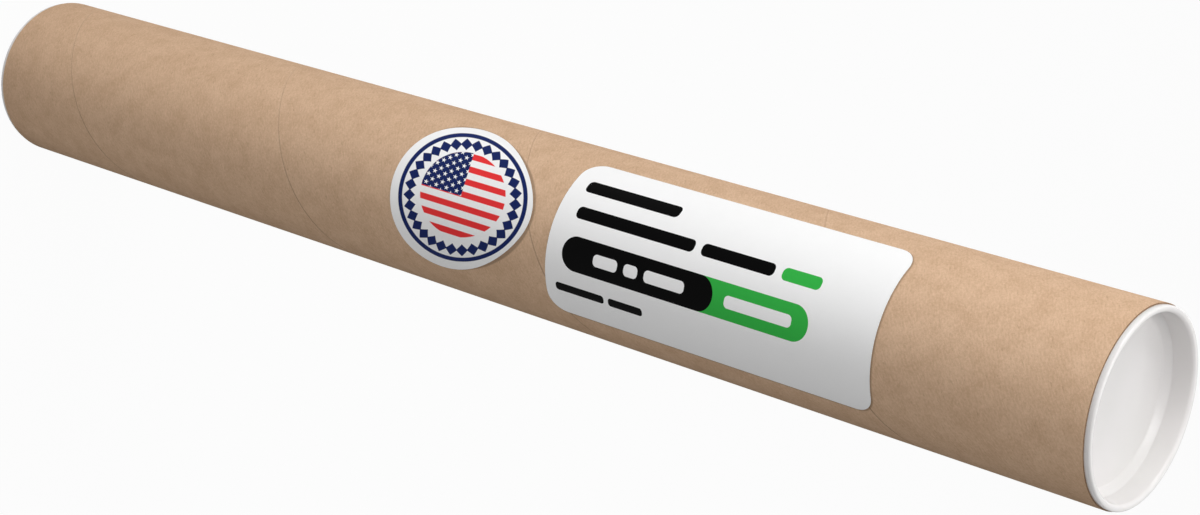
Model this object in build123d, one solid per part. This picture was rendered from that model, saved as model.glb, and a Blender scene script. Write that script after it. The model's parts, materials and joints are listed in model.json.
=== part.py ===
from build123d import *
import math
import os

# A spiral-wound cardboard mailing tube with a push-in plastic cap in each end.
# It stands on its bottom cap: +Z up the tube, the origin under the middle of that cap.
# Lengths are in millimetres. Places round the wall are arc lengths from its front, -Y, towards +X.

# Tube: wound paperboard
tube_length = 647.7
bore_diameter = 76.2
wall = 2.03

# Open joint between the turns of the outer paper ply
ply_lead = 158.5
ply_front_height = 55.6
ply_gap_width = 0.7
ply_gap_depth = 0.22
ply_gap_overcut = 1.0

# Caps: thin moulded cups with a rounded lip that sits on the tube's end
cap_clearance = 0.05
cap_wall = 1.25
cap_floor = 1.6
lip_overhang = 1.5
lip_height = 2.6
lip_outer_round = 0.8
lip_inner_round = 1.5
recess_depth = 12.15
recess_chamfer = 2.8
floor_round = 3.0
arc_step = 45

# Rectangular paper label, measured down from the tube's top end
label_top_inset = 92.9
label_height = 168.0
label_arc = 74.0
label_corner = 9.0
label_side_shift = 1.0

# Oval paper sticker below the label, narrower towards its top
sticker_label_gap = 12.6
sticker_height = 83.7
sticker_arc = 69.3
sticker_taper = 0.33
sticker_side_shift = -0.7
sticker_points = 16
sticker_spans = 4

# Both papers
paper_thickness = 0.15
glue_line = 0.08

bore_radius = bore_diameter / 2
tube_radius = bore_radius + wall
tube_bottom = lip_height
tube_top = tube_bottom + tube_length
label_top = tube_top - label_top_inset
label_bottom = label_top - label_height
paper_inner = tube_radius + glue_line
paper_outer = paper_inner + paper_thickness

os.makedirs("parts", exist_ok=True)


def ply_gap_turn():
    """One turn of the V-shaped gap between the turns of the outer ply, from the wall's front."""
    path = Helix(ply_lead, ply_lead, tube_radius)
    half_mouth = ply_gap_width / 2 * (ply_gap_depth + ply_gap_overcut) / ply_gap_depth
    section = Polyline(
        (tube_radius - ply_gap_depth, 0),
        (tube_radius + ply_gap_overcut, -half_mouth),
        (tube_radius + ply_gap_overcut, half_mouth),
        close=True,
    )
    turn = sweep(Plane.XZ * make_face(section), path, is_frenet=True)
    return Rotation(0, 0, -90) * turn


def tube():
    """The wound wall, open at both ends, with the gap climbing it in one right-handed helix."""
    wall_ring = Circle(tube_radius) - Circle(bore_radius)
    body = Pos(0, 0, tube_bottom) * extrude(wall_ring, tube_length)
    turns_below = math.ceil(ply_front_height / ply_lead)
    first_turn = tube_bottom + ply_front_height - turns_below * ply_lead
    turns = math.ceil((tube_top - first_turn) / ply_lead)
    gap_turn = ply_gap_turn()
    for turn in range(turns):
        body -= Pos(0, 0, first_turn + turn * ply_lead) * gap_turn
    return body


def arc_points(centre_x, centre_z, radius, start, end):
    """Places along an arc of a turned section, both ends included, angles in degrees from +X."""
    steps = math.ceil(abs(end - start) / arc_step)
    angles = [math.radians(start + (end - start) * step / steps) for step in range(steps + 1)]
    return [(centre_x + radius * math.cos(angle), centre_z + radius * math.sin(angle)) for angle in angles]


def cap():
    """A cup that points down into the bore, with its lip's underside at Z = 0."""
    outer = bore_radius - cap_clearance
    inner = outer - cap_wall
    lip_radius = bore_radius + lip_overhang
    floor_top = lip_height - recess_depth
    floor_bottom = floor_top - cap_floor
    lead_in = recess_chamfer + cap_floor - cap_wall * (math.sqrt(2) - 1)
    half_bend = math.tan(math.radians(45 / 2))
    section = [
        (0, floor_bottom),
        (outer - lead_in, floor_bottom),
        (outer, floor_bottom + lead_in),
        (outer, 0),
        (lip_radius, 0),
    ]
    section += arc_points(lip_radius - lip_outer_round, lip_height - lip_outer_round, lip_outer_round, 0, 90)
    section += arc_points(inner + lip_inner_round, lip_height - lip_inner_round, lip_inner_round, 90, 180)
    section.append((inner, floor_top + recess_chamfer))
    floor_edge = inner - recess_chamfer - floor_round * half_bend
    section += arc_points(floor_edge, floor_top + floor_round, floor_round, -45, -90)
    section.append((0, floor_top))
    return revolve(Plane.XZ * make_face(Polyline(*section, close=True)), Axis.Z)


def front_x(arc):
    """Where a place on the wall, given by its arc length from the front, lies across the front view."""
    return tube_radius * math.sin(arc / tube_radius)


def wall_paper(front_view):
    """Paper bent round the wall, cut to an outline drawn as it looks from the front."""
    ring = Circle(paper_outer) - Circle(paper_inner)
    shell = Pos(0, 0, tube_bottom) * extrude(ring, tube_length)
    return shell & extrude(Plane.XZ * front_view, 2 * tube_radius)


def label():
    """The rectangular label, its four corners round on the paper."""
    left = label_side_shift - label_arc / 2
    right = label_side_shift + label_arc / 2
    left_in = front_x(left + label_corner)
    right_in = front_x(right - label_corner)
    left_reach = left_in - front_x(left)
    right_reach = front_x(right) - right_in
    high_in = label_top - label_corner
    low_in = label_bottom + label_corner
    corner_centres = [(right_in, high_in), (left_in, high_in), (left_in, low_in), (right_in, low_in)]
    reaches = [right_reach, left_reach, left_reach, right_reach]
    quarter = 90
    corners = []
    for i in range(len(corner_centres)):
        arc = EllipticalCenterArc(corner_centres[i], reaches[i], label_corner, i * quarter, arc_size=quarter)
        corners.append(arc)
    sides = [Line(corners[i - 1] @ 1, corners[i] @ 0) for i in range(len(corners))]
    return wall_paper(make_face(Curve() + corners + sides))


def sticker():
    """The oval sticker, its outline one smooth curve cut into equal spans."""
    middle = label_bottom - sticker_label_gap - sticker_height / 2
    outline = []
    for step in range(sticker_points):
        turn = 2 * math.pi * step / sticker_points
        half_width = sticker_arc / 2 * (1 - sticker_taper * math.sin(turn))
        across = front_x(sticker_side_shift + half_width * math.cos(turn))
        outline.append((across, middle + sticker_height / 2 * math.sin(turn)))
    oval = Spline(*outline, periodic=True)
    spans = [oval.trim(i / sticker_spans, (i + 1) / sticker_spans) for i in range(sticker_spans)]
    return wall_paper(make_face(spans))


top_cap = Pos(0, 0, tube_top) * cap()
bottom_cap = Pos(0, 0, tube_bottom) * (Rotation(180, 0, 0) * cap())

export_step(tube(), "parts/tube.step")
export_step(top_cap, "parts/top_cap.step")
export_step(bottom_cap, "parts/bottom_cap.step")
export_step(label(), "parts/label.step")
export_step(sticker(), "parts/sticker.step")
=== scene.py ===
import json
import math

import bmesh
import bpy
from mathutils import Matrix, Vector

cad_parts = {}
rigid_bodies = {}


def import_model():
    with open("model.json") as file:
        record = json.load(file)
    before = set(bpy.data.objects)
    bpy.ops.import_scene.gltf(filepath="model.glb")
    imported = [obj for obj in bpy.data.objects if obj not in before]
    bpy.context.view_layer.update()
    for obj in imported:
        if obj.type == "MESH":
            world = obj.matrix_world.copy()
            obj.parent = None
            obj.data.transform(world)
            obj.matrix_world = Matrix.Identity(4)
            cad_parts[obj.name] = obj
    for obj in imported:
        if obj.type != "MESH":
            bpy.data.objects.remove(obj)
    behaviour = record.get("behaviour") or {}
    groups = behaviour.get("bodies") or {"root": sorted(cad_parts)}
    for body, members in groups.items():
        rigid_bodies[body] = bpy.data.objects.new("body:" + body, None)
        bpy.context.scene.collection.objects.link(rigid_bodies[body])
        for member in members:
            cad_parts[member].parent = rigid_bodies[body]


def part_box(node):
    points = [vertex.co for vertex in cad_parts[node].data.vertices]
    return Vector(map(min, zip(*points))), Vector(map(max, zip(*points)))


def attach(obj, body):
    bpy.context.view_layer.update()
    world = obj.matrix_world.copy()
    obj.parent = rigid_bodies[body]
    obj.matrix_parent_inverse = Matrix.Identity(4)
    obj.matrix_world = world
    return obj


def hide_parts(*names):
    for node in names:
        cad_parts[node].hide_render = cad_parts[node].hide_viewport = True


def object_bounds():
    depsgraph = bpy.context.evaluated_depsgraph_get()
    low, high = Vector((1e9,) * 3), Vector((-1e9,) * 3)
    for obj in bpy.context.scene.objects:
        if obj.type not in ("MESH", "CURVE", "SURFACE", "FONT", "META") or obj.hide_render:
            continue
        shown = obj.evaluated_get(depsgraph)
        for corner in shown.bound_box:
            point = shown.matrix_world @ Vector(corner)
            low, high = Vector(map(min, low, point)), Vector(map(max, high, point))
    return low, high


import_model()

cadLow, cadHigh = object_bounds()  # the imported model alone, before any piece is added
fullTurn = 2 * math.pi
touching = 1e-6  # metres: points closer together than this are one


# Modelling helpers

def dropSelection():
    for thing in bpy.context.scene.objects:
        thing.select_set(False)


def choosePiece(piece):
    dropSelection()
    piece.select_set(True)
    bpy.context.view_layer.objects.active = piece


def editPiece(piece):
    choosePiece(piece)
    bpy.ops.object.mode_set(mode="EDIT")
    bpy.ops.mesh.select_all(action="DESELECT")


def leaveEditing():
    bpy.ops.object.mode_set(mode="OBJECT")


def pick(kind, test):
    # selects the vertices, edges or faces that pass the test, and drops the rest
    mesh = bpy.context.edit_object.data
    bpy.ops.mesh.select_mode(type=kind)
    shape = bmesh.from_edit_mesh(mesh)
    for part in {"VERT": shape.verts, "EDGE": shape.edges, "FACE": shape.faces}[kind]:
        part.select_set(bool(test(part)))
    shape.select_flush_mode()
    bmesh.update_edit_mesh(mesh)


def pickOpenLoops(z):
    pick("EDGE", lambda edge: edge.is_boundary and all(abs(v.co.z - z) < touching for v in edge.verts))


def settle(piece):
    # puts the piece's place, turn and size into its mesh
    choosePiece(piece)
    bpy.ops.object.transform_apply(location=True, rotation=True, scale=True)


def applyModifier(piece, kind, **settings):
    choosePiece(piece)
    step = piece.modifiers.new(kind.lower(), kind)
    for name, value in settings.items():
        setattr(step, name, value)
    bpy.ops.object.modifier_apply(modifier=step.name)


def smoothPiece(piece, sharpFrom):
    choosePiece(piece)
    bpy.ops.object.shade_smooth_by_angle(angle=math.radians(sharpFrom))


def startProfile(name, x, z):
    # one vertex in the XZ plane, from which a profile is extruded
    dropSelection()
    bpy.ops.mesh.primitive_plane_add(size=0.001, location=(x, 0, z))
    piece = bpy.context.active_object
    piece.name = name
    settle(piece)
    editPiece(piece)
    bpy.ops.mesh.select_mode(type="VERT")
    bpy.ops.mesh.select_all(action="SELECT")
    bpy.ops.mesh.merge(type="CENTER")
    return piece


def profileTo(dx, dz):
    bpy.ops.mesh.extrude_vertices_move(TRANSFORM_OT_translate={"value": (dx, 0, dz)})


def addPiece(piece, body, node):
    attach(piece, body)
    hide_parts(node)
    print("made", piece.name, "with", len(piece.data.polygons), "faces")


# Material helpers

def inkColour(red, green, blue):
    # a screen colour, 0 to 255, as the linear colour that a shader takes
    def linear(value):
        share = value / 255
        return share / 12.92 if share <= 0.04045 else ((share + 0.055) / 1.055) ** 2.4
    return (linear(red), linear(green), linear(blue), 1)


def feed(tree, socket, given):
    if isinstance(given, bpy.types.NodeSocket):
        tree.links.new(given, socket)
    else:
        socket.default_value = given


def sums(tree, operation, *given):
    step = tree.nodes.new("ShaderNodeMath")
    step.operation = operation
    for i, value in enumerate(given):
        feed(tree, step.inputs[i], value)
    return step.outputs[0]


def weighted(tree, first, firstShare, second, secondShare):
    # the first value times its share, plus the second times its share
    firstPart = sums(tree, "MULTIPLY", first, firstShare)
    return sums(tree, "ADD", firstPart, sums(tree, "MULTIPLY", second, secondShare))


def reachOf(tree, x, y):
    # how far the point x, y lies from 0, 0
    return sums(tree, "SQRT", sums(tree, "ADD", sums(tree, "MULTIPLY", x, x), sums(tree, "MULTIPLY", y, y)))


def swing(tree, noise, share):
    # a noise moved down to lie round 0, times a share
    return sums(tree, "MULTIPLY", sums(tree, "SUBTRACT", noise, 0.5), share)


def ramp(tree, value, low, high, toLow=0.0, toHigh=1.0):
    step = tree.nodes.new("ShaderNodeMapRange")
    step.interpolation_type = "SMOOTHSTEP"
    for name, number in (("From Min", low), ("From Max", high), ("To Min", toLow), ("To Max", toHigh)):
        feed(tree, step.inputs[name], number)
    feed(tree, step.inputs["Value"], value)
    return step.outputs["Result"]


def spread(tree, noise, toLow, toHigh):
    # most of a noise lies between 0.3 and 0.7, so that span is widened to the wanted one
    return ramp(tree, noise, 0.3, 0.7, toLow, toHigh)


def blendColour(tree, share, under, over):
    step = tree.nodes.new("ShaderNodeMix")
    step.data_type = "RGBA"
    feed(tree, step.inputs[0], share)
    feed(tree, step.inputs[6], under)
    feed(tree, step.inputs[7], over)
    return step.outputs[2]


def blendValue(tree, share, low, high):
    step = tree.nodes.new("ShaderNodeMix")
    step.data_type = "FLOAT"
    feed(tree, step.inputs[0], share)
    feed(tree, step.inputs[2], low)
    feed(tree, step.inputs[3], high)
    return step.outputs[0]


def point(tree, x, y, z=0.0):
    step = tree.nodes.new("ShaderNodeCombineXYZ")
    for i, value in enumerate((x, y, z)):
        feed(tree, step.inputs[i], value)
    return step.outputs[0]


def splitPoint(tree, place):
    step = tree.nodes.new("ShaderNodeSeparateXYZ")
    tree.links.new(place, step.inputs[0])
    return step.outputs


def speckle(tree, place, scale, detail, roughness):
    step = tree.nodes.new("ShaderNodeTexNoise")
    feed(tree, step.inputs["Vector"], place)
    step.inputs["Scale"].default_value = scale
    step.inputs["Detail"].default_value = detail
    step.inputs["Roughness"].default_value = roughness
    return step.outputs["Fac"]


def startGroup(name, inputs, outputs):
    tree = bpy.data.node_groups.new(name, "ShaderNodeTree")
    for label, kind in inputs:
        tree.interface.new_socket(label, in_out="INPUT", socket_type="NodeSocket" + kind)
    for label, kind in outputs:
        tree.interface.new_socket(label, in_out="OUTPUT", socket_type="NodeSocket" + kind)
    return tree, tree.nodes.new("NodeGroupInput").outputs, tree.nodes.new("NodeGroupOutput").inputs


def useGroup(tree, group, **given):
    step = tree.nodes.new("ShaderNodeGroup")
    step.node_tree = group
    for name, value in given.items():
        feed(tree, step.inputs[name], value)
    return step.outputs


def startMaterial(name, specular):
    material = bpy.data.materials.new(name)
    material.use_nodes = True
    tree = material.node_tree
    shader = tree.nodes["Principled BSDF"]
    shader.inputs["Specular IOR Level"].default_value = specular
    place = tree.nodes.new("ShaderNodeTexCoord").outputs["Object"]
    return material, tree, shader, place


def bump(tree, shader, height, distance, strength):
    step = tree.nodes.new("ShaderNodeBump")
    step.inputs["Strength"].default_value = strength
    step.inputs["Distance"].default_value = distance
    feed(tree, step.inputs["Height"], height)
    tree.links.new(step.outputs["Normal"], shader.inputs["Normal"])


# Camera: the tube stands up, and the view is turned so that it lies across the picture

camera = {
    "place": (0.0, -0.81825, 1.02987),
    "aim": (0.00669, 0.0, 0.38761),
    "roll": 107.408,  # degrees, about the line of sight
    "lens": 71.385,
    "sensor": 36,
    "nearest": 0.01,
}

def placeCamera():
    dropSelection()
    bpy.ops.object.camera_add(location=camera["place"])
    eye = bpy.context.active_object
    eye.name = "pictureCamera"
    sight = Vector(camera["aim"]) - Vector(camera["place"])
    roll = Matrix.Rotation(math.radians(camera["roll"]), 3, "Z")
    eye.rotation_euler = (sight.to_track_quat("-Z", "Y").to_matrix() @ roll).to_euler()
    eye.data.lens = camera["lens"]
    eye.data.sensor_width = camera["sensor"]
    eye.data.clip_start = camera["nearest"]
    bpy.context.scene.camera = eye
    print("camera placed")


placeCamera()


# Studio: a white floor, a soft key from -X, weaker light from the front, above and behind

studio = {
    "floorSize": 8.0,
    "floorShade": 0.5,
    "floorGlow": 0.96,  # share of the floor's look that is plain white, the rest shows the shadow
    "worldStrength": 0.15,
}
# Azimuths in degrees from the front, -Y, towards +X
softboxes = {
    "keyBox": {"azimuth": -69, "distance": 1.5, "height": 0.9, "width": 0.8, "tall": 1.6, "power": 18.7},
    "fillBox": {"azimuth": 20, "distance": 1.6, "height": 0.9, "width": 1.0, "tall": 1.4, "power": 7.8},
    "topBox": {"azimuth": -45, "distance": 0.5, "height": 2.2, "width": 0.8, "tall": 0.8, "power": 11},
    "backBox": {"azimuth": 190, "distance": 0.9, "height": 1.8, "width": 1.2, "tall": 1.2, "power": 6},
}

def seenRays(tree):
    # 1 for what the camera sees directly, in a mirror or through glass
    path = tree.nodes.new("ShaderNodeLightPath").outputs
    first = sums(tree, "MAXIMUM", path["Is Camera Ray"], path["Is Glossy Ray"])
    return sums(tree, "MAXIMUM", first, path["Is Transmission Ray"])


def buildFloor():
    dropSelection()
    bpy.ops.mesh.primitive_plane_add(size=studio["floorSize"])
    floor = bpy.context.active_object
    floor.name = "studioFloor"
    material = bpy.data.materials.new("floorWhite")
    material.use_nodes = True
    tree = material.node_tree
    tree.nodes.clear()
    paint = tree.nodes.new("ShaderNodeBsdfDiffuse")
    shade = studio["floorShade"]
    paint.inputs["Color"].default_value = (shade, shade, shade, 1)
    glow = tree.nodes.new("ShaderNodeEmission")
    glow.inputs["Strength"].default_value = 1
    mixed = tree.nodes.new("ShaderNodeMixShader")
    tree.links.new(sums(tree, "MULTIPLY", seenRays(tree), studio["floorGlow"]), mixed.inputs[0])
    tree.links.new(paint.outputs[0], mixed.inputs[1])
    tree.links.new(glow.outputs[0], mixed.inputs[2])
    tree.links.new(mixed.outputs[0], tree.nodes.new("ShaderNodeOutputMaterial").inputs["Surface"])
    floor.data.materials.append(material)


def buildWorld():
    world = bpy.data.worlds.new("studioWorld")
    world.use_nodes = True
    tree = world.node_tree
    sky = tree.nodes["Background"]
    sky.inputs["Color"].default_value = (1, 1, 1, 1)
    feed(tree, sky.inputs["Strength"], blendValue(tree, seenRays(tree), studio["worldStrength"], 1.0))
    bpy.context.scene.world = world


def buildSoftboxes():
    for name, box in softboxes.items():
        turn = math.radians(box["azimuth"])
        away = Vector((math.sin(turn), -math.cos(turn), 0)) * box["distance"]
        place = away + Vector((0, 0, box["height"]))
        bpy.ops.object.light_add(type="AREA", location=place)
        lamp = bpy.context.active_object
        lamp.name = name
        lamp.data.shape = "RECTANGLE"
        lamp.data.size = box["width"]
        lamp.data.size_y = box["tall"]
        lamp.data.energy = box["power"]
        aim = Vector((0, 0, cadHigh.z / 2)) - place
        lamp.rotation_euler = aim.to_track_quat("-Z", "Y").to_euler()


buildFloor()
buildWorld()
buildSoftboxes()
bpy.context.scene.view_settings.view_transform = "Standard"
print("studio lit by", len(softboxes), "softboxes")


# Effects shared by the materials, each built once

tubeLow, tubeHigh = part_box("tube")
tubeShape = {
    "outerRadius": 0.04013,
    "boreRadius": 0.0381,
    "sides": 240,
    "rimRound": 0.00025,
    "rimSteps": 4,
    "plyLead": 0.1585,
    "seamFront": tubeLow.z + 0.0556,  # where the outer seam crosses the front line, -Y
    "seamHalfMouth": 0.00032,
    "seamDepth": 0.00014,
    "innerSeamFront": tubeLow.z + 0.021,
    "sharpFrom": 15,  # degrees between two faces
}
# Each noise, its scale per metre for the cloud and per millimetre for the rest
paperNoise = {
    "cloud": {"scale": 110.0, "detail": 4.0, "roughness": 0.6},
    "fibre": {"scale": 1.3, "detail": 3.0, "roughness": 0.6},
    "grain": {"scale": 0.95, "detail": 4.0, "roughness": 0.75},
    "fleck": {"scale": 1.2, "detail": 1.0, "roughness": 0.5},
}
paperFigure = {
    "fibreSqueeze": 0.3,  # along the strip, which makes a fibre longer than it is wide
    "fleckSqueeze": 0.4,
    "fleckLayer": 7.0,  # another slice of noise, so that no fleck follows a fibre
    "fleckSpan": (0.68, 0.76),  # only the highest noise is a fleck
}
barSoftness = 0.05  # millimetres to each side of a bar's edge in which its ink fades

def makeWallPlace():
    # where a point lies on the unrolled wall: share of a turn from the front, arc and height in millimetres
    tree, given, out = startGroup(
        "wallPlace", [("Place", "Vector")], [("Turn", "Float"), ("Arc", "Float"), ("Height", "Float")],
    )
    x, y, z = splitPoint(tree, given["Place"])
    angle = sums(tree, "ARCTAN2", x, sums(tree, "MULTIPLY", y, -1.0))
    tree.links.new(sums(tree, "DIVIDE", angle, fullTurn), out["Turn"])
    tree.links.new(sums(tree, "MULTIPLY", angle, tubeShape["outerRadius"] * 1000), out["Arc"])
    tree.links.new(sums(tree, "MULTIPLY", z, 1000.0), out["Height"])
    return tree


def makePlyCourse():
    # follows one wound strip of paper: along it, across it, and how far its seam is, in millimetres
    lead = tubeShape["plyLead"] * 1000
    around = fullTurn * tubeShape["outerRadius"] * 1000
    pitch = math.atan(lead / around)
    tree, given, out = startGroup(
        "plyCourse",
        [("Turn", "Float"), ("Height", "Float"), ("Start", "Float")],
        [("Along", "Float"), ("Across", "Float"), ("Seam", "Float")],
    )
    height = given["Height"]
    risen = sums(tree, "DIVIDE", sums(tree, "SUBTRACT", height, given["Start"]), lead)
    course = sums(tree, "SUBTRACT", risen, given["Turn"])
    courseNumber = sums(tree, "FLOOR", course)
    inCourse = sums(tree, "SUBTRACT", course, courseNumber)
    unrolled = sums(tree, "MULTIPLY", sums(tree, "ADD", given["Turn"], courseNumber), around)
    fromEdge = sums(tree, "SUBTRACT", inCourse, sums(tree, "ROUND", inCourse))
    tree.links.new(weighted(tree, unrolled, math.cos(pitch), height, math.sin(pitch)), out["Along"])
    tree.links.new(weighted(tree, height, math.cos(pitch), unrolled, -math.sin(pitch)), out["Across"])
    tree.links.new(sums(tree, "MULTIPLY", fromEdge, lead * math.cos(pitch)), out["Seam"])
    return tree


def makePaperFibre():
    # the cloudy tone of paper, its long fibres, fine grain and stray flecks, all from 0 to 1
    tree, given, out = startGroup(
        "paperFibre",
        [("Place", "Vector"), ("Along", "Float"), ("Across", "Float")],
        [("Cloud", "Float"), ("Fibre", "Float"), ("Grain", "Float"), ("Fleck", "Float")],
    )
    along, across = given["Along"], given["Across"]
    figure = paperFigure
    forFibre = point(tree, sums(tree, "MULTIPLY", along, figure["fibreSqueeze"]), across)
    squeezed = sums(tree, "MULTIPLY", along, figure["fleckSqueeze"])
    fleck = speckle(tree, point(tree, squeezed, across, figure["fleckLayer"]), **paperNoise["fleck"])
    tree.links.new(speckle(tree, given["Place"], **paperNoise["cloud"]), out["Cloud"])
    tree.links.new(speckle(tree, forFibre, **paperNoise["fibre"]), out["Fibre"])
    tree.links.new(speckle(tree, point(tree, along, across), **paperNoise["grain"]), out["Grain"])
    tree.links.new(ramp(tree, fleck, *figure["fleckSpan"]), out["Fleck"])
    return tree


def makePrintBar():
    # a bar with round corners: 1 inside and 0 outside, and how far its edge is, below 0 inside
    tree, given, out = startGroup(
        "printBar",
        [(name, "Float") for name in ("X", "Y", "Middle X", "Middle Y", "Half X", "Half Y", "Corner")],
        [("Mask", "Float"), ("Edge", "Float")],
    )
    reach = []
    for axis in ("X", "Y"):
        offset = sums(tree, "ABSOLUTE", sums(tree, "SUBTRACT", given[axis], given["Middle " + axis]))
        straight = sums(tree, "SUBTRACT", given["Half " + axis], given["Corner"])
        reach.append(sums(tree, "SUBTRACT", offset, straight))
    beyond = reachOf(tree, *[sums(tree, "MAXIMUM", value, 0.0) for value in reach])
    within = sums(tree, "MINIMUM", sums(tree, "MAXIMUM", reach[0], reach[1]), 0.0)
    edge = sums(tree, "SUBTRACT", sums(tree, "ADD", beyond, within), given["Corner"])
    tree.links.new(ramp(tree, edge, barSoftness, -barSoftness), out["Mask"])
    tree.links.new(edge, out["Edge"])
    return tree


labelLow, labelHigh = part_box("label")
labelShape = {
    "arc": 0.0740,
    "corner": 0.0090,
    "cornerSteps": 12,
    "sideShift": 0.0010,
}
# The sticker's print is drawn in a disc of radius 1 that faces the camera, here in millimetres on the wall
stickerDisc = {
    "halfAlong": 41.67,
    "halfAcross": 31.36,
    "middleAcross": -0.84,
    "middleHeight": 335.6,
    "droop": 0.8774,  # how far the print leans down the wall for each millimetre that the wall falls back
}

def makeStickerPlace():
    # where a point lies in the sticker's disc: x up the tube, y towards -X
    disc = stickerDisc
    tree, given, out = startGroup("stickerPlace", [("Place", "Vector")], [("X", "Float"), ("Y", "Float")])
    across, depth, height = (sums(tree, "MULTIPLY", v, 1000.0) for v in splitPoint(tree, given["Place"]))
    fallBack = sums(tree, "ADD", depth, tubeShape["outerRadius"] * 1000)
    raised = sums(tree, "ADD", height, sums(tree, "MULTIPLY", fallBack, disc["droop"]))
    up = sums(tree, "SUBTRACT", raised, disc["middleHeight"])
    sideways = sums(tree, "SUBTRACT", across, disc["middleAcross"])
    tree.links.new(sums(tree, "DIVIDE", up, disc["halfAlong"]), out["X"])
    tree.links.new(sums(tree, "DIVIDE", sideways, -disc["halfAcross"]), out["Y"])
    return tree


wallPlace = makeWallPlace()
plyCourse = makePlyCourse()
paperFibre = makePaperFibre()
printBar = makePrintBar()
stickerPlace = makeStickerPlace()
print("shared effects built:", len(bpy.data.node_groups))


# Tube: a strip of kraft paper wound up the wall, with an open seam between its turns

kraftLook = {
    "sheet": inkColour(222, 189, 159),
    "deep": inkColour(191, 157, 126),
    "deepShare": 0.85,  # of the deep colour, where the tone is lowest
    "tone": {"cloud": 0.7, "strand": 0.7, "grain": 1.0},
    "fleck": inkColour(128, 98, 72),
    "fleckShare": 0.2,
    "roughness": (0.7, 0.82),
    "specular": 0.0,
    "relief": {"cloud": 0.1, "strand": 0.6, "grain": 0.8},
    "reliefHeight": 0.00022,
    "reliefStrength": 0.6,
}
seamLook = {
    "shade": inkColour(112, 86, 64),
    "shadeReach": 2.0,  # in half mouths from the seam's middle
    "open": (0.3, 0.4),  # share of the shade, where the clouds are low and high
    "paintedShadeSide": 0.24,  # painted shade: added at +X, the shade side, and taken off at -X, the lit side
    "wobble": 0.25,  # millimetres
    # painted highlight: a lighter band along both edges of the seam
    "edge": inkColour(232, 206, 180),
    "edgeReach": 4.0,
    "paintedHighlightShare": 0.08,
}
# Painted shadow cast by the edges of the label and the sticker onto the kraft, widest towards +X and up
paintedShadowLook = {
    "shade": inkColour(92, 72, 54),
    "share": 0.5,
    "shift": 0.3,  # millimetres towards +X and up, where the painted shadow is widest
    "width": 0.9,
    "frontHalf": (0.27, 0.25),  # turns from the front in which the painted shadow fades out, past both papers
}
cutLook = {
    "board": inkColour(134, 106, 82),
    "deepShare": 0.35,
    "line": inkColour(104, 80, 60),
    "lineShare": 0.75,
    "lineSpan": (0.16, 0.04),  # in plies from the middle of a glue line
    "ply": 0.00036,
    "stray": 0.5,  # plies
    "roughness": 0.9,
    "specular": 0.2,
    "reliefHeight": 0.0001,
    "reliefStrength": 0.5,
}
liningLook = {
    "board": inkColour(176, 150, 124),
    "deepShare": 0.8,
    "tone": {"cloud": 1.2, "strand": 0.6, "grain": 0.8},
    "seamSpan": (0.45, 0.25),  # millimetres from the seam's middle
    "seamShare": 0.6,
    "roughness": 0.85,
    "specular": 0.25,
    "relief": {"cloud": 0.3, "strand": 0.6, "grain": 0.5},
    "reliefHeight": 0.00012,
    "reliefStrength": 0.5,
}
toneSpan = (0.1, 0.9)  # the tone at which a sheet shows its deep colour most and not at all

def fibreTone(tree, fibre, cloud, strand, grain):
    # the wanted share of each effect, round a middle of 0.5
    tone = 0.5
    for name, share in (("Cloud", cloud), ("Fibre", strand), ("Grain", grain)):
        tone = sums(tree, "ADD", swing(tree, fibre[name], share), tone)
    return tone


def paintedShadowBesidePapers(tree, wall, place):
    # painted shadow: 1 right beside the edges of the label and the sticker, 0 further off and on the back
    look, disc = paintedShadowLook, stickerDisc
    label = {
        "X": sums(tree, "SUBTRACT", wall["Arc"], look["shift"]),
        "Y": sums(tree, "SUBTRACT", wall["Height"], look["shift"]),
        "Middle X": labelShape["sideShift"] * 1000,
        "Middle Y": (labelLow.z + labelHigh.z) * 500,
        "Half X": labelShape["arc"] * 500,
        "Half Y": (labelHigh.z - labelLow.z) * 500,
        "Corner": labelShape["corner"] * 1000,
    }
    fromLabel = useGroup(tree, printBar, **label)["Edge"]
    inDisc = useGroup(tree, stickerPlace, Place=place)
    x = sums(tree, "SUBTRACT", inDisc["X"], look["shift"] / disc["halfAlong"])
    y = sums(tree, "ADD", inDisc["Y"], look["shift"] / disc["halfAcross"])
    fromSticker = sums(tree, "MULTIPLY", sums(tree, "SUBTRACT", reachOf(tree, x, y), 1.0), disc["halfAcross"])
    near = [ramp(tree, far, look["width"], 0.0) for far in (fromLabel, fromSticker)]
    front = ramp(tree, sums(tree, "ABSOLUTE", wall["Turn"]), *look["frontHalf"])
    return sums(tree, "MULTIPLY", sums(tree, "MAXIMUM", *near), front)


def outerSeam(tree, wall, ply, fibre, colour):
    # lays a painted highlight along the seam's edges, and darkens its mouth: a dark joint, with painted shade
    # added towards +X and taken off towards -X
    look = seamLook
    halfMouth = tubeShape["seamHalfMouth"] * 1000
    edgeReach, shadeReach = halfMouth * look["edgeReach"], halfMouth * look["shadeReach"]
    far = sums(tree, "ADD", sums(tree, "ABSOLUTE", ply["Seam"]), swing(tree, fibre["Grain"], look["wobble"]))
    # painted highlight along the seam's edges
    edge = ramp(tree, far, edgeReach, shadeReach, 0.0, look["paintedHighlightShare"])
    colour = blendColour(tree, edge, colour, look["edge"])
    # painted shade: the mouth is darker towards +X, the shade side, and fainter towards -X, the lit side
    side = sums(tree, "SINE", sums(tree, "MULTIPLY", wall["Turn"], fullTurn))
    gapeAndPaintedShade = sums(tree, "MULTIPLY", side, look["paintedShadeSide"])
    gapeAndPaintedShade = sums(tree, "ADD", gapeAndPaintedShade, spread(tree, fibre["Cloud"], *look["open"]))
    mouth = sums(tree, "MULTIPLY", ramp(tree, far, shadeReach, 0.0), gapeAndPaintedShade)
    return blendColour(tree, mouth, colour, look["shade"])


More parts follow.
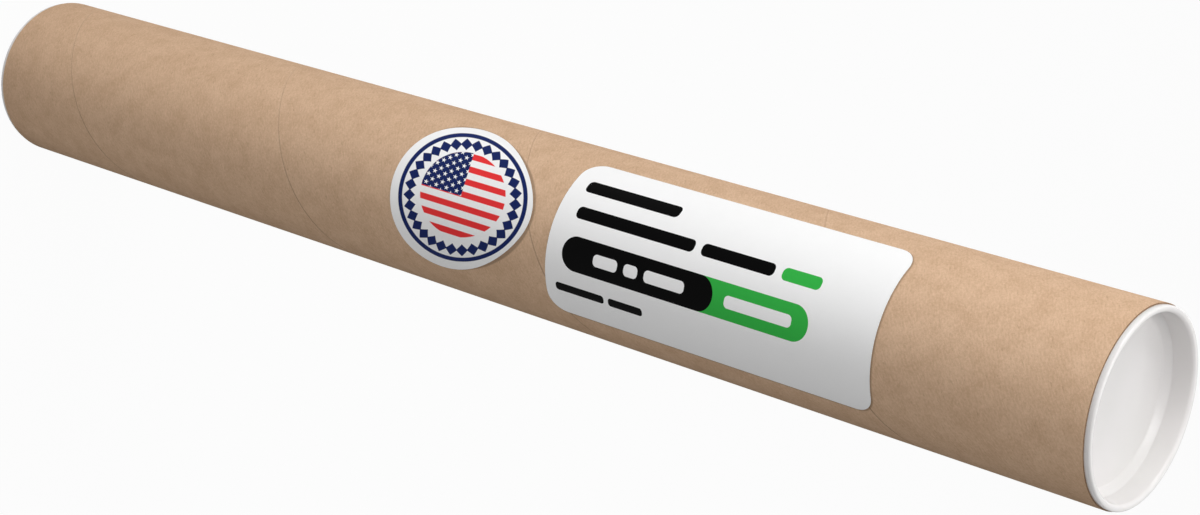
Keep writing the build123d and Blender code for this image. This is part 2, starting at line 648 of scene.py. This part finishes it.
def kraftPaper():
    look = kraftLook
    material, tree, shader, place = startMaterial("kraftPaper", look["specular"])
    wall = useGroup(tree, wallPlace, Place=place)
    start = tubeShape["seamFront"] * 1000
    ply = useGroup(tree, plyCourse, Turn=wall["Turn"], Height=wall["Height"], Start=start)
    fibre = useGroup(tree, paperFibre, Place=place, Along=ply["Along"], Across=ply["Across"])
    depth = ramp(tree, fibreTone(tree, fibre, **look["tone"]), *toneSpan, look["deepShare"], 0.0)
    colour = blendColour(tree, depth, look["sheet"], look["deep"])
    flecks = sums(tree, "MULTIPLY", fibre["Fleck"], look["fleckShare"])
    colour = blendColour(tree, flecks, colour, look["fleck"])
    colour = outerSeam(tree, wall, ply, fibre, colour)
    # painted shadow beside the label and the sticker
    paintedShadowShare = sums(tree, "MULTIPLY", paintedShadowBesidePapers(tree, wall, place), paintedShadowLook["share"])
    colour = blendColour(tree, paintedShadowShare, colour, paintedShadowLook["shade"])
    tree.links.new(colour, shader.inputs["Base Color"])
    tree.links.new(spread(tree, fibre["Grain"], *look["roughness"]), shader.inputs["Roughness"])
    bump(tree, shader, fibreTone(tree, fibre, **look["relief"]), look["reliefHeight"], look["reliefStrength"])
    return material


def cutBoard():
    # the sawn end of the wall, where the glued plies show as thin rings
    look = cutLook
    material, tree, shader, place = startMaterial("cutBoard", look["specular"])
    shader.inputs["Roughness"].default_value = look["roughness"]
    wall = useGroup(tree, wallPlace, Place=place)
    fibre = useGroup(tree, paperFibre, Place=place, Along=wall["Arc"], Across=wall["Height"])
    inBoard = sums(tree, "SUBTRACT", reachOf(tree, *splitPoint(tree, place)[:2]), tubeShape["boreRadius"])
    plies = sums(tree, "DIVIDE", inBoard, look["ply"])
    plies = sums(tree, "ADD", plies, swing(tree, fibre["Grain"], look["stray"]))
    fromLine = sums(tree, "PINGPONG", plies, 0.5)
    deep = spread(tree, fibre["Grain"], 0.0, look["deepShare"])
    colour = blendColour(tree, deep, look["board"], kraftLook["deep"])
    line = ramp(tree, fromLine, *look["lineSpan"], 0.0, look["lineShare"])
    tree.links.new(blendColour(tree, line, colour, look["line"]), shader.inputs["Base Color"])
    relief = sums(tree, "ADD", fromLine, fibre["Grain"])
    bump(tree, shader, relief, look["reliefHeight"], look["reliefStrength"])
    return material


def tubeLining():
    # the inside of the wall, another wound strip with a seam of its own
    look = liningLook
    material, tree, shader, place = startMaterial("tubeLining", look["specular"])
    shader.inputs["Roughness"].default_value = look["roughness"]
    wall = useGroup(tree, wallPlace, Place=place)
    start = tubeShape["innerSeamFront"] * 1000
    ply = useGroup(tree, plyCourse, Turn=wall["Turn"], Height=wall["Height"], Start=start)
    fibre = useGroup(tree, paperFibre, Place=place, Along=ply["Along"], Across=ply["Across"])
    depth = ramp(tree, fibreTone(tree, fibre, **look["tone"]), *toneSpan, look["deepShare"], 0.0)
    colour = blendColour(tree, depth, look["board"], kraftLook["deep"])
    seam = ramp(tree, sums(tree, "ABSOLUTE", ply["Seam"]), *look["seamSpan"], 0.0, look["seamShare"])
    tree.links.new(blendColour(tree, seam, colour, seamLook["shade"]), shader.inputs["Base Color"])
    bump(tree, shader, fibreTone(tree, fibre, **look["relief"]), look["reliefHeight"], look["reliefStrength"])
    return material


def roundRim(z, outward):
    # carries the open edge loop at height z to the wall's end on a quarter round, then leaves it open
    shape = tubeShape
    radius = shape["outerRadius"] if outward > 0 else shape["boreRadius"]
    tip = 1 if z > tubeHigh.z / 2 else -1
    pickOpenLoops(z)
    lastHeight, lastRadius = 0.0, radius
    for step in range(1, shape["rimSteps"] + 1):
        bend = math.pi / 2 * step / shape["rimSteps"]
        height = shape["rimRound"] * math.sin(bend)
        nextRadius = radius - outward * shape["rimRound"] * (1 - math.cos(bend))
        rise = (0, 0, tip * (height - lastHeight))
        bpy.ops.mesh.extrude_edges_move(TRANSFORM_OT_translate={"value": rise})
        narrow = nextRadius / lastRadius
        bpy.ops.transform.resize(value=(narrow, narrow, 1), center_override=(0, 0, z))
        lastHeight, lastRadius = height, nextRadius


def woundStrip(rimLow, rimHigh):
    # the outer wall: the profile of one turn of the strip, screwed up the tube and cut at both rims
    shape = tubeShape
    lead, halfMouth, depth = shape["plyLead"], shape["seamHalfMouth"], shape["seamDepth"]
    seamAtSide = shape["seamFront"] + lead / 4  # the profile stands at +X, a quarter turn on
    turnsBelow = math.ceil(seamAtSide / lead) + 1
    turns = math.ceil((tubeHigh.z - seamAtSide) / lead) + turnsBelow
    piece = startProfile("windingTube", shape["outerRadius"] - depth, seamAtSide - turnsBelow * lead)
    profileTo(depth, halfMouth)
    profileTo(0, lead - 2 * halfMouth)
    profileTo(-depth, halfMouth)
    leaveEditing()
    applyModifier(
        piece, "SCREW", axis="Z", angle=fullTurn, screw_offset=lead, iterations=turns, steps=shape["sides"],
        render_steps=shape["sides"], use_normal_calculate=True, use_merge_vertices=False,
    )
    editPiece(piece)
    bpy.ops.mesh.select_all(action="SELECT")
    bpy.ops.mesh.remove_doubles(threshold=touching)
    bpy.ops.mesh.bisect(plane_co=(0, 0, rimLow), plane_no=(0, 0, 1), clear_inner=True)
    bpy.ops.mesh.select_all(action="SELECT")
    bpy.ops.mesh.bisect(plane_co=(0, 0, rimHigh), plane_no=(0, 0, 1), clear_outer=True)
    bpy.ops.mesh.select_all(action="SELECT")
    bpy.ops.mesh.normals_make_consistent(inside=False)
    roundRim(rimLow, 1)
    roundRim(rimHigh, 1)
    leaveEditing()
    return piece


def smoothBore(rimLow, rimHigh):
    dropSelection()
    bpy.ops.mesh.primitive_cylinder_add(
        vertices=tubeShape["sides"], radius=tubeShape["boreRadius"], depth=rimHigh - rimLow,
        location=(0, 0, (rimLow + rimHigh) / 2), end_fill_type="NOTHING",
    )
    bore = bpy.context.active_object
    settle(bore)
    editPiece(bore)
    bpy.ops.mesh.select_all(action="SELECT")
    bpy.ops.mesh.flip_normals()
    roundRim(rimLow, -1)
    roundRim(rimHigh, -1)
    leaveEditing()
    return bore


def woundTube():
    shape = tubeShape
    rims = (tubeLow.z + shape["rimRound"], tubeHigh.z - shape["rimRound"])
    piece = woundStrip(*rims)
    bore = smoothBore(*rims)
    choosePiece(piece)
    bore.select_set(True)
    bpy.ops.object.join()
    editPiece(piece)
    for z in (tubeLow.z, tubeHigh.z):
        pickOpenLoops(z)
        bpy.ops.mesh.bridge_edge_loops()
    for material in (kraftPaper(), cutBoard(), tubeLining()):
        piece.data.materials.append(material)
    middleWall = (shape["outerRadius"] + shape["boreRadius"]) / 2

    def atEnd(face):
        return abs(face.normal.z) > 0.5

    def inBore(face):
        return not atEnd(face) and face.calc_center_median().xy.length < middleWall

    for slot, test in ((1, atEnd), (2, inBore)):
        pick("FACE", test)
        piece.active_material_index = slot
        bpy.ops.object.material_slot_assign()
    leaveEditing()
    smoothPiece(piece, shape["sharpFrom"])
    addPiece(piece, "tube", "tube")


woundTube()


# Caps: one turned cup, copied and turned over for the other end

capShape = {
    "plugRadius": 0.03805,
    "cupRadius": 0.0368,
    "lipRadius": 0.0396,
    "lipHeight": 0.0026,
    "lipOuterRound": 0.0008,
    "lipInnerRound": 0.0015,
    "lipUnderRound": 0.00009,
    "recess": 0.01215,
    "chamfer": 0.0028,
    "floor": 0.0016,
    "floorRound": 0.0015,  # radius of the fillet between the floor and the chamfer
    "edgeRound": 0.0003,
    "sides": 240,
    "sharpFrom": 28,  # degrees between two faces
}
capLook = {
    "plastic": inkColour(232, 229, 228),
    "shade": inkColour(229, 227, 225),
    "shadeSpan": (0.35, 0.7),
    "clouds": {"scale": 30.0, "detail": 2.0, "roughness": 0.5},
    "roughness": (0.21, 0.25),
    "specular": 0.4,
    "glowThrough": 0.25,  # share of the light that spreads inside the plastic
    "glowReach": 0.003,
    "waves": {"scale": 45.0, "detail": 1.0, "roughness": 0.5},
    "waveHeight": 0.0003,
    "waveStrength": 0.4,
}

def capPlastic():
    look = capLook
    material, tree, shader, place = startMaterial("capPlastic", look["specular"])
    shader.inputs["Subsurface Weight"].default_value = look["glowThrough"]
    shader.inputs["Subsurface Radius"].default_value = (look["glowReach"],) * 3
    shader.inputs["Subsurface Scale"].default_value = 1.0
    clouds = speckle(tree, place, **look["clouds"])
    colour = blendColour(tree, ramp(tree, clouds, *look["shadeSpan"]), look["plastic"], look["shade"])
    tree.links.new(colour, shader.inputs["Base Color"])
    tree.links.new(spread(tree, clouds, *look["roughness"]), shader.inputs["Roughness"])
    bump(tree, shader, speckle(tree, place, **look["waves"]), look["waveHeight"], look["waveStrength"])
    return material


def turnedCap():
    shape = capShape
    plug, cup, lip = shape["plugRadius"], shape["cupRadius"], shape["lipRadius"]
    lipTop = tubeHigh.z + shape["lipHeight"]
    floorTop = lipTop - shape["recess"]
    floorUnder = floorTop - shape["floor"]
    # The plug's end slopes in as the recess does, with the side wall's thickness between the two slopes
    leadIn = shape["chamfer"] + shape["floor"] - (plug - cup) * (math.sqrt(2) - 1)
    piece = startProfile("topCap", 0, floorUnder)
    profileTo(plug - leadIn, 0)
    profileTo(leadIn, leadIn)
    profileTo(0, tubeHigh.z - floorUnder - leadIn)
    profileTo(lip - plug, 0)
    profileTo(0, shape["lipHeight"])
    profileTo(cup - lip, 0)
    profileTo(0, shape["chamfer"] - shape["recess"])
    profileTo(-shape["chamfer"], -shape["chamfer"])
    profileTo(shape["chamfer"] - cup, 0)

    def near(vertex, x, z):
        return abs(vertex.co.x - x) < 10 * touching and abs(vertex.co.z - z) < 10 * touching

    # Each corner of the profile, how far along both its sides the round starts, and the round's steps
    cornersToRound = [
        ((lip, lipTop), shape["lipOuterRound"], 6),
        ((cup, lipTop), shape["lipInnerRound"], 8),
        ((cup - shape["chamfer"], floorTop), shape["floorRound"] * math.tan(math.pi / 8), 6),
        ((cup, floorTop + shape["chamfer"]), shape["edgeRound"], 3),
        ((lip, tubeHigh.z), shape["lipUnderRound"], 2),
        ((plug, floorUnder + leadIn), shape["edgeRound"], 3),
        ((plug - leadIn, floorUnder), shape["edgeRound"], 3),
    ]
    for (x, z), offset, segments in cornersToRound:
        pick("VERT", lambda vertex: near(vertex, x, z))
        bpy.ops.mesh.bevel(affect="VERTICES", offset=offset, segments=segments, profile=0.5)
    bpy.ops.mesh.select_all(action="SELECT")
    bpy.ops.mesh.spin(
        steps=shape["sides"], angle=fullTurn, center=(0, 0, 0), axis=(0, 0, 1), use_auto_merge=True,
    )
    bpy.ops.mesh.select_all(action="SELECT")
    bpy.ops.mesh.remove_doubles(threshold=touching)
    bpy.ops.mesh.normals_make_consistent(inside=False)
    leaveEditing()
    piece.data.materials.append(capPlastic())
    smoothPiece(piece, shape["sharpFrom"])
    return piece


def bothCaps():
    topCap = turnedCap()
    bottomCap = topCap.copy()
    bottomCap.data = topCap.data.copy()
    bottomCap.name = "bottomCap"
    bpy.context.scene.collection.objects.link(bottomCap)
    bottomCap.rotation_euler = (math.pi, 0, 0)
    bottomCap.location = (0, 0, tubeLow.z + tubeHigh.z)
    settle(bottomCap)
    addPiece(topCap, "top_cap", "top_cap")
    addPiece(bottomCap, "bottom_cap", "bottom_cap")


bothCaps()


# Papers: a printed label and an oval sticker, cut flat and bent round the wall

paperShape = {
    "thickness": 0.00015,
    "glue": 0.00008,
    "cutStep": 0.0015,  # width of the strips that bend with the wall
    "sharpFrom": 40,  # degrees between two faces
}
paperLook = {
    "shade": inkColour(190, 188, 182),
    "shadeShare": 0.04,
    "tone": {"cloud": 1.0, "strand": 0.4, "grain": 0.5},
    "specular": 0.03,
    "labelRoughness": 0.5,
    "inkRoughness": 0.4,
    "stickerRoughness": 0.42,
    "relief": {"cloud": 0.1, "strand": 0.3, "grain": 0.8},
    "reliefHeight": 0.00003,
    "reliefStrength": 0.4,
}
inks = {
    "black": inkColour(4, 4, 4),
    "green": inkColour(56, 180, 74),
    "navy": inkColour(26, 40, 94),
    "red": inkColour(236, 58, 60),
    "paper": inkColour(249, 249, 249),
}

def bendOnWall(piece, arcWidth, sideShift):
    # cuts the flat paper into upright strips, bends it to the wall and gives it its thickness
    shape = paperShape
    wallRadius = tubeShape["outerRadius"]
    bendRadius = wallRadius + shape["glue"]
    editPiece(piece)
    cuts = int(arcWidth / shape["cutStep"])
    for cut in range(1, cuts):
        x = -arcWidth / 2 + arcWidth * cut / cuts
        bpy.ops.mesh.select_all(action="SELECT")
        bpy.ops.mesh.bisect(plane_co=(x, 0, 0), plane_no=(1, 0, 0))
    leaveEditing()
    applyModifier(piece, "SIMPLE_DEFORM", deform_method="BEND", deform_axis="Z", angle=arcWidth / wallRadius)
    grow = bendRadius / wallRadius
    piece.scale = (grow, grow, 1)
    piece.location.y = -bendRadius
    settle(piece)
    piece.rotation_euler = (0, 0, sideShift / wallRadius)
    settle(piece)
    applyModifier(piece, "SOLIDIFY", thickness=shape["thickness"], offset=1)
    smoothPiece(piece, shape["sharpFrom"])


def paperStock(name):
    # starts a material of white paper with a faint tooth, and gives its colour for the inks to lie on
    look = paperLook
    material, tree, shader, place = startMaterial(name, look["specular"])
    wall = useGroup(tree, wallPlace, Place=place)
    fibre = useGroup(tree, paperFibre, Place=place, Along=wall["Arc"], Across=wall["Height"])
    bump(tree, shader, fibreTone(tree, fibre, **look["relief"]), look["reliefHeight"], look["reliefStrength"])
    shade = ramp(tree, fibreTone(tree, fibre, **look["tone"]), 0.0, 1.0, look["shadeShare"], 0.0)
    return material, tree, shader, place, blendColour(tree, shade, inks["paper"], look["shade"])


# Bars of print: start and end in millimetres up from the label's lower end, then across from its -X side
labelPrint = [
    {"ink": "black", "along": (7.7, 58.7), "across": (11.1, 17.0), "corner": 2.2},
    {"ink": "black", "along": (10.2, 74.0), "across": (23.9, 29.4), "corner": 2.2},
    {"ink": "black", "along": (77.7, 114.7), "across": (23.9, 29.4), "corner": 2.2},
    {"ink": "green", "along": (118.5, 137.5), "across": (23.9, 29.4), "corner": 2.2},
    {"ink": "green", "along": (66.7, 137.3), "across": (36.7, 51.7), "corner": 7.5},
    {"ink": "black", "along": (8.7, 89.7), "across": (36.7, 51.7), "corner": 7.5},
    {"ink": "paper", "along": (26.0, 39.2), "across": (41.6, 46.8), "corner": 2.0},
    {"ink": "paper", "along": (42.7, 50.2), "across": (41.6, 46.8), "corner": 2.0},
    {"ink": "paper", "along": (53.7, 75.0), "across": (41.6, 46.8), "corner": 2.0},
    {"ink": "paper", "along": (95.7, 129.2), "across": (41.6, 46.8), "corner": 2.0},
    {"ink": "black", "along": (5.7, 32.7), "across": (58.6, 62.3), "corner": 1.5},
    {"ink": "black", "along": (35.1, 53.7), "across": (58.6, 62.3), "corner": 1.5},
]

def labelPaper():
    material, tree, shader, place, colour = paperStock("labelPaper")
    wall = useGroup(tree, wallPlace, Place=place)
    leftSide = (labelShape["sideShift"] - labelShape["arc"] / 2) * 1000
    along = sums(tree, "SUBTRACT", wall["Height"], labelLow.z * 1000)
    across = sums(tree, "SUBTRACT", wall["Arc"], leftSide)
    inked = 0.0
    for bar in labelPrint:
        given = {"X": along, "Y": across, "Corner": bar["corner"]}
        for axis, (start, end) in (("X", bar["along"]), ("Y", bar["across"])):
            given["Middle " + axis] = (start + end) / 2
            given["Half " + axis] = (end - start) / 2
        mask = useGroup(tree, printBar, **given)["Mask"]
        colour = blendColour(tree, mask, colour, inks[bar["ink"]])
        inked = sums(tree, "MAXIMUM", inked, mask)
    tree.links.new(colour, shader.inputs["Base Color"])
    roughness = ramp(tree, inked, 0.0, 1.0, paperLook["labelRoughness"], paperLook["inkRoughness"])
    tree.links.new(roughness, shader.inputs["Roughness"])
    return material


def shippingLabel():
    shape = labelShape
    middle = (labelLow.z + labelHigh.z) / 2
    dropSelection()
    bpy.ops.mesh.primitive_plane_add(size=1, location=(0, 0, middle), rotation=(math.pi / 2, 0, 0))
    piece = bpy.context.active_object
    piece.name = "shippingLabel"
    piece.scale = (shape["arc"], labelHigh.z - labelLow.z, 1)
    bpy.ops.object.transform_apply(location=False, rotation=True, scale=True)
    editPiece(piece)
    bpy.ops.mesh.select_mode(type="VERT")
    bpy.ops.mesh.select_all(action="SELECT")
    bpy.ops.mesh.bevel(affect="VERTICES", offset=shape["corner"], segments=shape["cornerSteps"], profile=0.5)
    leaveEditing()
    bendOnWall(piece, shape["arc"], shape["sideShift"])
    piece.data.materials.append(labelPaper())
    addPiece(piece, "tube", "label")


shippingLabel()


stickerLow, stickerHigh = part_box("sticker")
stickerShape = {
    "arc": 0.0693,
    "taper": 0.33,
    "sideShift": -0.0007,
    "sides": 128,
}
# Sizes in the sticker's disc of radius 1
stickerPrint = {
    "softness": 0.004,  # to each side of an edge, in which the ink fades
    "line": 0.88,
    "halfLine": 0.029,
    "diamondRing": 0.747,
    "diamonds": 31,
    "halfDiamond": 0.085,
    "roundel": 0.60,
    "roundelUp": 0.035,
    "stripe": 0.0904,
    "stripesTop": 0.626,
    "redHalf": 0.48,  # in stripes, as is the next
    "redSoftness": 0.04,
    "cantonEnd": -0.012,
    "cantonFoot": 0.010,
    "starColumns": 0.151,
    "starRows": 0.121,
    "firstStar": (-0.092, 0.062),
    "starPoint": 0.037,
    "starWaist": 0.39,  # share of a star's point at which its arms meet
    "starSoftness": 0.00003,
}

def inside(tree, value, limit, soft=stickerPrint["softness"]):
    return ramp(tree, value, limit + soft, limit - soft)


def starLattice(tree, x, y, startX, startY):
    # five-pointed stars at every column and row from the first one
    art = stickerPrint
    local = []
    for value, start, step in ((x, startX, art["starColumns"]), (y, startY, art["starRows"])):
        offset = sums(tree, "SUBTRACT", value, start)
        nearest = sums(tree, "MULTIPLY", sums(tree, "ROUND", sums(tree, "DIVIDE", offset, step)), step)
        local.append(sums(tree, "SUBTRACT", offset, nearest))
    fold = sums(tree, "PINGPONG", sums(tree, "ARCTAN2", local[0], local[1]), math.pi / 5)
    outerPoint = art["starPoint"]
    innerPoint = outerPoint * art["starWaist"]
    rise = innerPoint * math.sin(math.pi / 5)
    run = outerPoint - innerPoint * math.cos(math.pi / 5)
    side = weighted(tree, sums(tree, "COSINE", fold), rise, sums(tree, "SINE", fold), run)
    fromArm = sums(tree, "MULTIPLY", reachOf(tree, *local), side)
    return inside(tree, fromArm, outerPoint * rise, art["starSoftness"])


def borderInk(tree, x, y):
    # the thin ring near the edge, and the row of diamonds inside it
    art = stickerPrint
    reach = reachOf(tree, x, y)
    fromLine = sums(tree, "ABSOLUTE", sums(tree, "SUBTRACT", reach, art["line"]))
    cells = sums(tree, "MULTIPLY", sums(tree, "ARCTAN2", x, y), art["diamonds"] / fullTurn)
    cellWidth = fullTurn * art["diamondRing"] / art["diamonds"]
    offCentre = sums(tree, "SUBTRACT", cells, sums(tree, "ROUND", cells))
    sideways = sums(tree, "ABSOLUTE", sums(tree, "MULTIPLY", offCentre, cellWidth))
    outwards = sums(tree, "ABSOLUTE", sums(tree, "SUBTRACT", reach, art["diamondRing"]))
    diamond = inside(tree, sums(tree, "ADD", sideways, outwards), art["halfDiamond"])
    return inside(tree, fromLine, art["halfLine"]), diamond


def stickerPaper():
    art = stickerPrint
    material, tree, shader, place, colour = paperStock("stickerPaper")
    shader.inputs["Roughness"].default_value = paperLook["stickerRoughness"]
    disc = useGroup(tree, stickerPlace, Place=place)
    x, y = disc["X"], disc["Y"]
    for ink in borderInk(tree, x, y):
        colour = blendColour(tree, ink, colour, inks["navy"])

    roundel = inside(tree, reachOf(tree, x, sums(tree, "SUBTRACT", y, art["roundelUp"])), art["roundel"])
    stripe = sums(tree, "DIVIDE", sums(tree, "SUBTRACT", art["stripesTop"], y), art["stripe"])
    fromRed = sums(tree, "PINGPONG", sums(tree, "SUBTRACT", stripe, 0.5), 1.0)
    redShare = sums(tree, "MULTIPLY", inside(tree, fromRed, art["redHalf"], art["redSoftness"]), roundel)
    colour = blendColour(tree, redShare, colour, inks["red"])

    beforeEnd = inside(tree, x, art["cantonEnd"])
    aboveFoot = inside(tree, sums(tree, "MULTIPLY", y, -1.0), -art["cantonFoot"])
    canton = sums(tree, "MULTIPLY", sums(tree, "MULTIPLY", beforeEnd, aboveFoot), roundel)
    colour = blendColour(tree, canton, colour, inks["navy"])
    starX, starY = art["firstStar"]
    stars = sums(
        tree, "MAXIMUM", starLattice(tree, x, y, starX, starY),
        starLattice(tree, x, y, starX - art["starColumns"] / 2, starY + art["starRows"] / 2),
    )
    colour = blendColour(tree, sums(tree, "MULTIPLY", stars, canton), colour, inks["paper"])
    tree.links.new(colour, shader.inputs["Base Color"])
    return material


def ovalSticker():
    shape = stickerShape
    dropSelection()
    bpy.ops.mesh.primitive_circle_add(
        vertices=shape["sides"], radius=0.5, fill_type="NGON",
        location=(0, 0, (stickerLow.z + stickerHigh.z) / 2), rotation=(math.pi / 2, 0, 0),
    )
    piece = bpy.context.active_object
    piece.name = "ovalSticker"
    piece.scale = (shape["arc"], stickerHigh.z - stickerLow.z, 1)
    bpy.ops.object.transform_apply(location=False, rotation=True, scale=True)
    applyModifier(piece, "SIMPLE_DEFORM", deform_method="TAPER", deform_axis="Z", factor=-2 * shape["taper"])
    arcWidth = 2 * max(vertex.co.x for vertex in piece.data.vertices)
    bendOnWall(piece, arcWidth, shape["sideShift"])
    piece.data.materials.append(stickerPaper())
    addPiece(piece, "tube", "sticker")


ovalSticker()
